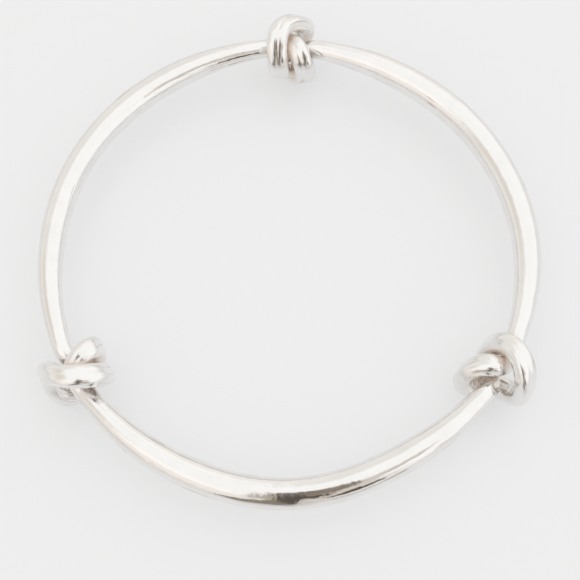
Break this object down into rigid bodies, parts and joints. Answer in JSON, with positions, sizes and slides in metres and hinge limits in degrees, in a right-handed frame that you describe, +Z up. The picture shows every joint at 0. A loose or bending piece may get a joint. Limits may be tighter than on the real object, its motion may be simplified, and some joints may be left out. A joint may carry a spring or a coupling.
{
  "type": "knotted wire bangle",
  "caption": "Solid bangle of polished round silver wire, soldered into a ring and tied in overhand knots spaced round it.",
  "frame": {"origin": "On the surface the bangle rests on, below the middle of its outline seen from above.", "axes": "+Z is up, square to the plane of the ring, which lies flat. +Y runs towards the knot that lies at the back in the picture, +X to the picture's right."},
  "size_m": [0.072, 0.0752, 0.0117],
  "materials": {
    "silver": "polished sterling silver with a few fine scratches"
  },
  "bodies": {
    "root": {"bangle": "silver"}
  },
  "joints": []
}
